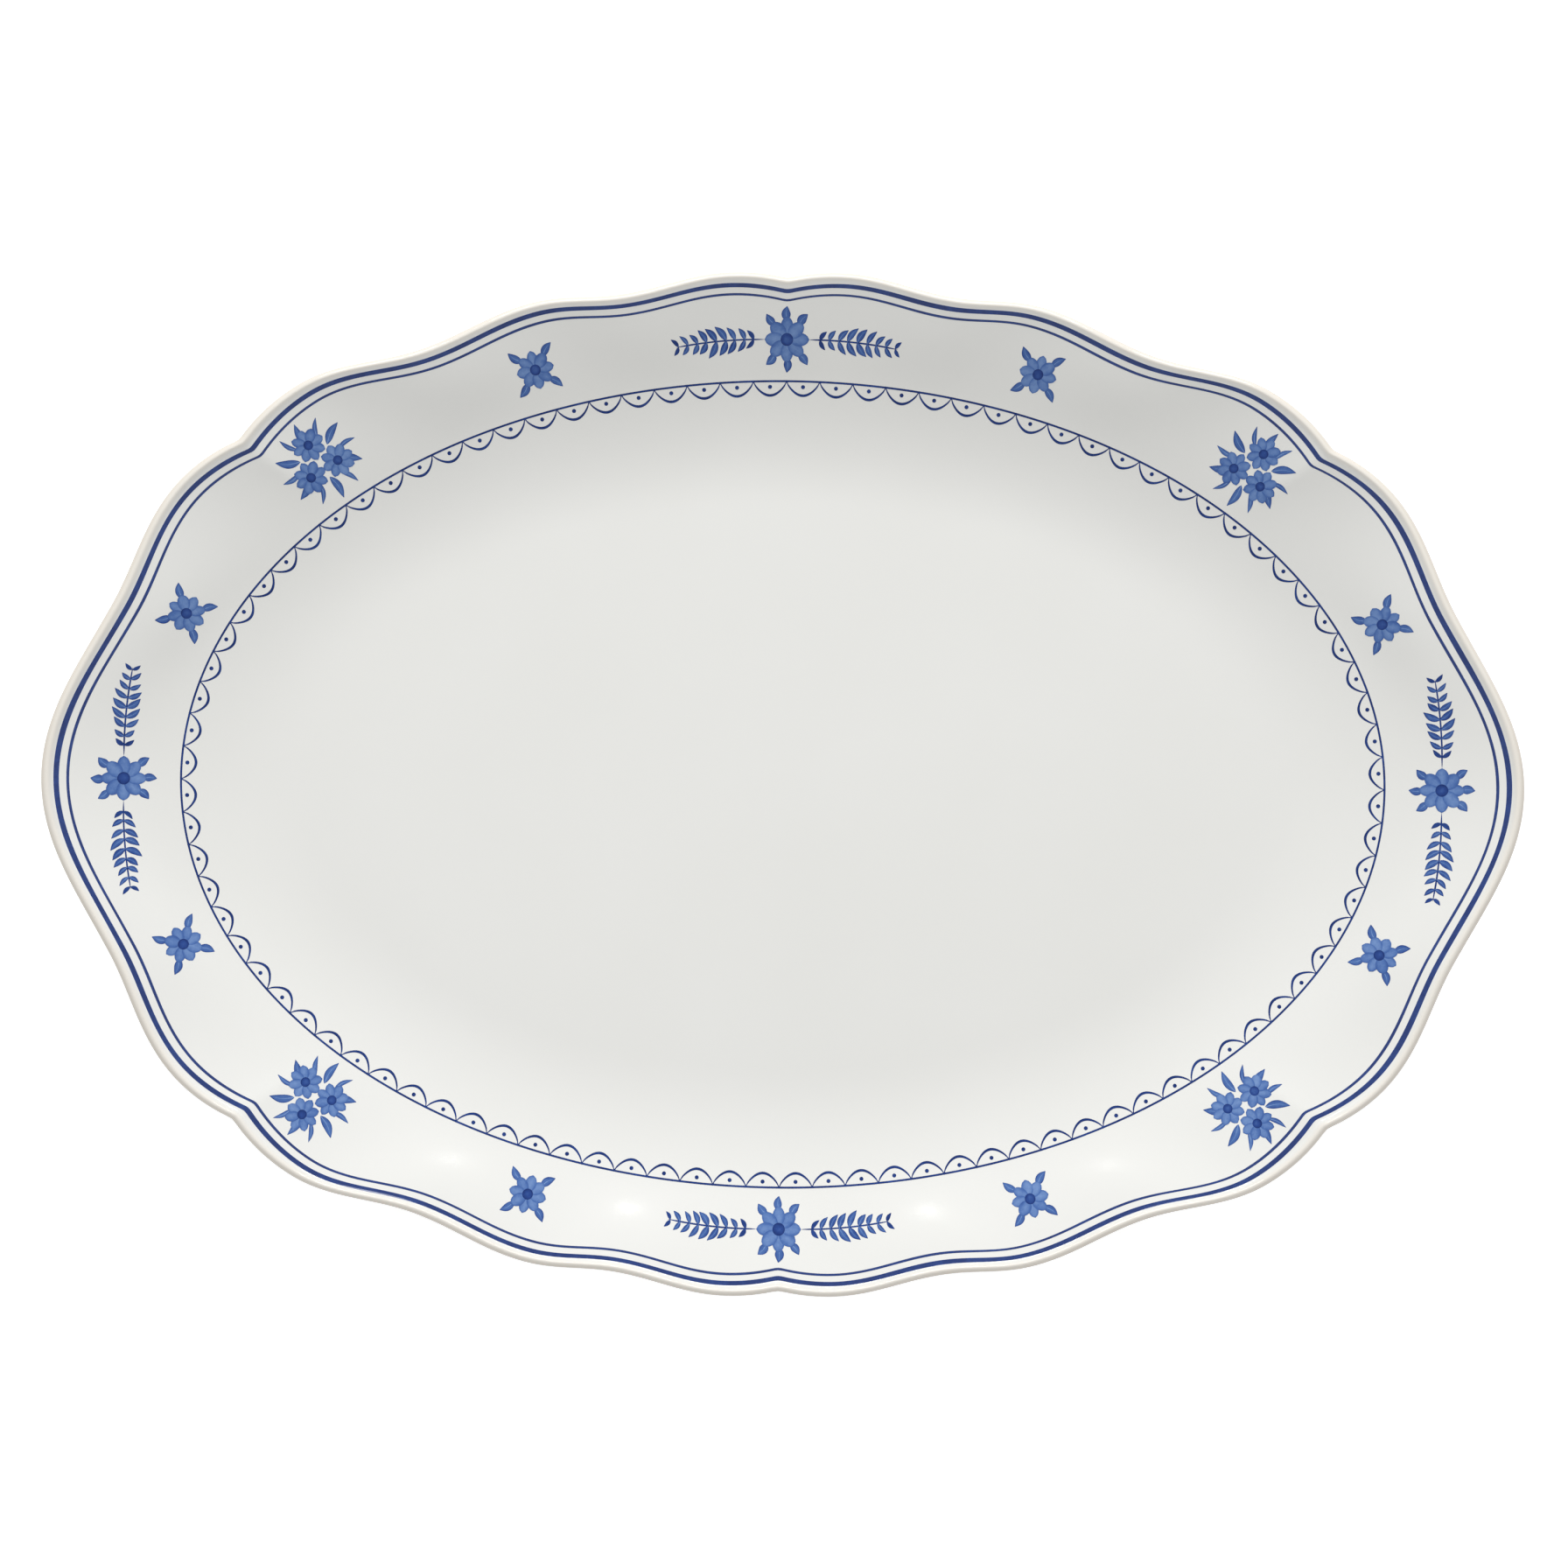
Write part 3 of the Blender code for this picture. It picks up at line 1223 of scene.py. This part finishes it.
@dataclass
class Sheet:
    """A flat sheet that is painted stroke by stroke, in coats that lie one over another."""

    seed: int
    shape: bmesh.types.BMesh = field(default_factory=bmesh.new)
    coat: int = 0              # the coat that is being painted
    coat_depth: float = 0.004
    painted: int = 0

    def __post_init__(self) -> None:
        """Readies the ink layer and the hand's small unevenness."""
        self.layer = ink_layer(self.shape)
        self.draw = random.Random(self.seed)

    def stroke(
        self,
        path: Path,
        half_width: float,
        ink: float,
        brush: Brush = Brush.LINE,
        wash: Wash = Wash.FLAT,
    ) -> None:
        """Paints one stroke.

        Args:
            path: Places that it runs through.
            half_width: At its fullest.
            ink: How strong its blue is, 0 to 1.
            brush: How its width runs along it.
            wash: How the ink lies within it.
        """
        corners = np.array(path, dtype=float)
        reach = float(np.hypot(*np.diff(corners, axis=0).T).sum())
        long_steps = int(min(max(reach / 0.42, 6), 36))
        wide_steps = 2 if half_width < 0.45 else 4
        spine = smooth_path(path, long_steps * 4 + 1)
        heading = np.gradient(spine, axis=0)
        heading /= np.maximum(np.hypot(*heading.T), 1e-9)[:, None]
        made = bmesh.ops.create_grid(self.shape, x_segments=long_steps, y_segments=wide_steps, size=1.0)
        verts = made["verts"]
        spots = np.array([vert.co for vert in verts])
        along, across = (spots[:, 0] + 1.0) / 2.0, spots[:, 1]
        marks = np.linspace(0.0, 1.0, len(spine))
        shares = np.maximum(swell(brush, along), 0.06)
        shares = shares * (1.0 + self.draw.uniform(-0.08, 0.08))
        offset = across * shares * half_width
        x = np.interp(along, marks, spine[:, 0]) - np.interp(along, marks, heading[:, 1]) * offset
        y = np.interp(along, marks, spine[:, 1]) + np.interp(along, marks, heading[:, 0]) * offset
        inks = ink * soak(wash, along, across) * self.draw.uniform(0.96, 1.03)
        height = self.height()
        for vert, east, north, strength in zip(verts, x, y, inks):
            vert.co = (east, north, height)
            vert[self.layer] = strength

    def height(self) -> float:
        """Height of the next stroke over the sheet.

        Returns:
            The height.
        """
        self.painted += 1
        return self.coat * self.coat_depth + self.painted * 0.00001

    def disc(self, centre: Point, radius: float, ink: float) -> None:
        """Paints a round spot, darker to its rim.

        Args:
            centre: Its middle.
            radius: Its radius.
            ink: How strong its blue is, 0 to 1.
        """
        height = self.height()
        steps = 4 if radius < 1.0 else 16
        made = bmesh.ops.create_grid(self.shape, x_segments=steps, y_segments=steps, size=1.0)
        for vert in made["verts"]:
            x, y = vert.co.x, vert.co.y
            across, up = x * sqrt(1.0 - y * y / 2.0), y * sqrt(1.0 - x * x / 2.0)
            vert[self.layer] = ink * (0.8 + 0.2 * hypot(across, up) ** 2)
            vert.co = (centre[0] + across * radius, centre[1] + up * radius, height)

    def leaf(self, start: Point, end: Point, half_width: float, ink: float, bend: float = 0.08) -> None:
        """Paints a leaf with its darker vein.

        Args:
            start: Where it starts.
            end: Where it ends.
            half_width: At its fullest.
            ink: How strong its blue is, 0 to 1.
            bend: How far its middle bows, as a share of its length.
        """
        across = (start[1] - end[1], end[0] - start[0])
        middle = tuple((s + e) / 2 + side * bend for s, e, side in zip(start, end, across))
        wash = Wash.EDGED if half_width > 0.55 else Wash.FLAT
        self.stroke((start, middle, end), half_width, ink, Brush.LEAF, wash)
        if half_width > 0.55:
            self.coat += 1
            vein = ink + 0.25 if ink < 0.8 else ink - 0.35
            tip = tuple(m + (e - m) * 0.75 for m, e in zip(middle, end))
            self.stroke((start, middle, tip), 0.1, vein, Brush.TAPER)
            self.coat -= 1

    def fern(self, stem: Path, first: float, count: int, size: float, half_width: float, ink: float) -> None:
        """Paints a stem with pairs of small leaves.

        Args:
            stem: From the flower outwards.
            first: Share of the stem before the first pair.
            count: Number of pairs.
            size: Length of the longest leaves.
            half_width: Of the longest leaves.
            ink: How strong the leaves' blue is.
        """
        self.stroke(stem, 0.2, ink, Brush.LINE)
        spine = smooth_path(stem, 101)
        for pair in range(count):
            part = first + (0.97 - first) * pair / max(count - 1, 1)
            index = min(int(part * 100), 98)
            spot, ahead = spine[index], spine[min(index + 2, 100)]
            heading = atan2(ahead[1] - spot[1], ahead[0] - spot[0])
            share = 1.0 - 0.45 * abs(2.0 * (pair + 0.5) / count - 0.9)
            for side in (-1.0, 1.0):
                turn = heading + side * radians(54.0 + self.draw.uniform(-7.0, 7.0))
                reach = size * share * self.draw.uniform(0.9, 1.1)
                tip = (spot[0] + reach * cos(turn), spot[1] + reach * sin(turn))
                self.leaf(tuple(spot), tip, half_width * share, ink, 0.08 * side)

    def leaf_ring(self, near: float, far: float, angles: tuple[float, ...], half_width: float) -> None:
        """Paints leaves that point outwards from the sheet's origin.

        Args:
            near: Distance from the origin at which they start.
            far: Distance at which they end.
            angles: Where they point, in degrees anticlockwise from the right.
            half_width: At its fullest.
        """
        for angle in angles:
            east, north = cos(radians(angle)), sin(radians(angle))
            self.leaf((near * east, near * north), (far * east, far * north), half_width, 0.84)

    def daisy(self, centre: Point, radius: float, petals: int) -> None:
        """Paints a plain flower, full face: even petals round a dark heart.

        Args:
            centre: Its middle.
            radius: From the middle to the petals' tips.
            petals: How many, all alike.
        """
        x, y = centre
        for index in range(petals):
            self.coat += 1
            angle = radians(90.0 + 360.0 / petals * index)
            near, far = 0.12 * radius, radius
            start = (x + near * cos(angle), y + near * sin(angle))
            tip = (x + far * cos(angle), y + far * sin(angle))
            self.stroke((start, tip), 2.4 * radius / petals, 0.72, Brush.PETAL, Wash.EDGED)
        self.coat += 1
        self.disc(centre, 0.28 * radius, 1.0)
        self.coat -= petals + 1

    def lay(self, form: PlatterForm, name: str, spot: Point, turn: float) -> bpy.types.Object:
        """Lays a copy of the sheet on the platter.

        Args:
            form: The surface.
            name: The piece's name.
            spot: Where the sheet's origin comes, in metres from the platter's centre.
            turn: How far it is turned, in degrees anticlockwise.

        Returns:
            The printed piece.
        """
        shape = self.shape.copy()
        move = Matrix.Translation((spot[0], spot[1], 0.0))
        move = move @ Matrix.Rotation(radians(turn), 4, "Z") @ Matrix.Scale(MM, 4)
        bmesh.ops.transform(shape, matrix=move, verts=shape.verts)
        sink_film(shape, form, 0.025 * MM)
        return finish_piece(to_object(shape, name, 40.0), "cobalt_print", CobaltPrint())


# ---------------------------------------------------------------------------------------------
# Motifs
# ---------------------------------------------------------------------------------------------


class Motif:
    """A printed picture that is used in several places."""

    def draw(self) -> Sheet:
        """Paints it on a flat sheet, its top towards the rim.

        Returns:
            The painted sheet.
        """
        raise NotImplementedError


@dataclass
class LeafySprig(Motif):
    """A daisy in the middle of a leafy stem that arches evenly to both sides."""

    seed: int = 3
    reach: float = 27.0        # from the daisy's middle to the stem's end
    droop: float = 2.2         # how far the stem's ends hang
    flower_radius: float = 5.4
    pairs: int = 9             # of leaves, on each side

    def draw(self) -> Sheet:
        """Stems first, then the leaves round the daisy, then the daisy.

        Returns:
            The painted sheet.
        """
        sheet = Sheet(self.seed)
        for side in (-1.0, 1.0):
            stem = []
            for step in range(5):
                part = step / 4
                along = self.flower_radius + (self.reach - self.flower_radius) * part
                stem.append((side * along, -self.droop * part**2))
            sheet.fern(tuple(stem), 0.12, self.pairs, 4.2, 0.85, 0.93)
        sheet.leaf_ring(4.4, 7.8, (50.0, 90.0, 130.0, 230.0, 270.0, 310.0), 1.05)
        sheet.coat = 2
        sheet.daisy((0.0, 0.0), self.flower_radius, 8)
        return sheet


@dataclass
class Posy(Motif):
    """Three even daisies in a triangle, with leaves all round them."""

    seed: int = 9
    spread: float = 4.5        # from the middle to each daisy
    flower_radius: float = 4.1
    leaf_reach: float = 10.4

    def draw(self) -> Sheet:
        """Leaves first, then the daisies.

        Returns:
            The painted sheet.
        """
        sheet = Sheet(self.seed)
        sheet.leaf_ring(4.5, self.leaf_reach, tuple(range(30, 390, 60)), 1.0)
        sheet.leaf_ring(5.5, self.leaf_reach, tuple(range(0, 360, 60)), 0.6)
        sheet.coat = 2
        for angle in (90.0, 210.0, 330.0):
            spot = (self.spread * cos(radians(angle)), self.spread * sin(radians(angle)))
            sheet.daisy(spot, self.flower_radius, 8)
        return sheet


@dataclass
class SmallDaisy(Motif):
    """One daisy with four leaves."""

    seed: int = 5
    flower_radius: float = 4.6
    leaf_reach: float = 7.6

    def draw(self) -> Sheet:
        """Leaves first, then the daisy.

        Returns:
            The painted sheet.
        """
        sheet = Sheet(self.seed)
        sheet.leaf_ring(3.6, self.leaf_reach, (45.0, 135.0, 225.0, 315.0), 0.95)
        sheet.coat = 2
        sheet.daisy((0.0, 0.0), self.flower_radius, 8)
        return sheet


@dataclass
class PrintedMotifs:
    """Every picture on the rim: sixteen even places, sprigs and posies with daisies between them."""

    form: PlatterForm
    places: int = 16
    ring: float = 0.1605       # half length of the ring that they stand on

    def spot(self, angle: float) -> tuple[Point, float]:
        """Where a picture stands, and how far it is turned so that its top points outwards.

        Args:
            angle: Its angle on the oval, in radians.

        Returns:
            Its place in metres and its turn in degrees.
        """
        ring, angles = np.array([self.ring]), np.array([angle])
        x, y = self.form.place(ring, angles)
        out_x, out_y = self.form.outward(ring, angles)
        turn = degrees(atan2(float(out_y[0]), float(out_x[0]))) - 90.0
        return (float(x[0]), float(y[0])), turn

    def build(self) -> list[bpy.types.Object]:
        """Lays every picture in its place.

        Returns:
            The printed pictures.
        """
        pieces = []
        for name, motif, first, apart in (
            ("sprig", LeafySprig(), 0, 4),
            ("posy", Posy(), 2, 4),
            ("daisy", SmallDaisy(), 1, 2),
        ):
            sheet = motif.draw()
            for number, place in enumerate(range(first, self.places, apart), start=1):
                spot, turn = self.spot(2 * pi * place / self.places)
                pieces.append(sheet.lay(self.form, f"{name}_{number}", spot, turn))
            sheet.shape.free()
        return pieces


# ---------------------------------------------------------------------------------------------
# Studio
# ---------------------------------------------------------------------------------------------


@dataclass
class Studio:
    """A white table top, soft light from the far side and a camera straight above."""

    span: float = 0.3801       # what the camera takes in at the lip's height
    lens: float = 150.0
    sensor: float = 36.0
    aim: Point = (0.0003, 0.0001)
    roll: float = 0.54
    softbox_spot: tuple[float, float, float] = (0.0, 1.62, 0.79)
    softbox_size: Point = (1.6, 0.5)
    softbox_power: float = 23.0
    room_light: float = 0.74
    table_size: float = 3.0    # from its middle to each side
    table_glow: float = 0.45   # so that the camera sees it white

    def floor(self) -> None:
        """A plain pale table top."""
        shape = bmesh.new()
        bmesh.ops.create_grid(shape, x_segments=1, y_segments=1, size=self.table_size)
        piece = to_object(shape, "table_top", 60.0)
        material = bpy.data.materials.new("white_table")
        material.use_nodes = True
        shader = material.node_tree.nodes["Principled BSDF"]
        shader.inputs["Base Color"].default_value = (0.95, 0.95, 0.95, 1.0)
        shader.inputs["Roughness"].default_value = 0.7
        shader.inputs["Emission Color"].default_value = (1.0, 1.0, 1.0, 1.0)
        bench = NodeBench(material.node_tree)
        seen = bench.add("LightPath").outputs["Is Camera Ray"]
        glow = bench.math("MULTIPLY", seen, self.table_glow)
        material.node_tree.links.new(glow, shader.inputs["Emission Strength"])
        piece.data.materials.append(material)

    def lamp(self, name: str, spot: tuple[float, float, float], size: Point, power: float) -> None:
        """A soft box that faces the platter.

        Args:
            name: Its name.
            spot: Where it stands, in metres.
            size: Its width and height.
            power: In watts.
        """
        light = bpy.data.lights.new(name, "AREA")
        light.shape = "RECTANGLE"
        light.size, light.size_y = size
        light.energy = power
        stand = bpy.data.objects.new(name, light)
        stand.location = spot
        stand.rotation_euler = (-Vector(spot)).to_track_quat("-Z", "Y").to_euler()
        bpy.context.scene.collection.objects.link(stand)

    def build(self, lip_height: float) -> None:
        """Sets the table, the lights and the camera.

        Args:
            lip_height: Height of the platter's lip.
        """
        self.floor()
        self.lamp("far_softbox", self.softbox_spot, self.softbox_size, self.softbox_power)
        world = bpy.data.worlds.new("soft_room")
        world.use_nodes = True
        backdrop = world.node_tree.nodes["Background"]
        backdrop.inputs["Color"].default_value = (1.0, 1.0, 1.0, 1.0)
        backdrop.inputs["Strength"].default_value = self.room_light
        bpy.context.scene.world = world
        bpy.context.scene.view_settings.view_transform = "Standard"
        camera = bpy.data.cameras.new("overhead")
        camera.lens = self.lens
        camera.sensor_width = self.sensor
        stand = bpy.data.objects.new("overhead", camera)
        away = self.span * self.lens / self.sensor
        stand.location = (self.aim[0], self.aim[1], lip_height + away)
        stand.rotation_euler = (0.0, 0.0, radians(self.roll))
        bpy.context.scene.collection.objects.link(stand)
        bpy.context.scene.camera = stand


def main() -> None:
    """Builds the platter and its decoration, piece by piece, and then the studio."""
    logging.basicConfig(level=logging.INFO, format="%(message)s")
    form = packed_form()
    ChinaBody(form).build()
    BandedLine(form, "rim_line_wide", outer_edge=0.00305, width=0.00128).build()
    BandedLine(form, "rim_line_narrow", outer_edge=0.00605, width=0.0007).build()
    PlainBorder(form).build()
    PrintedMotifs(form).build()
    Studio().build(form.height)


if __name__ == "__main__":
    main()
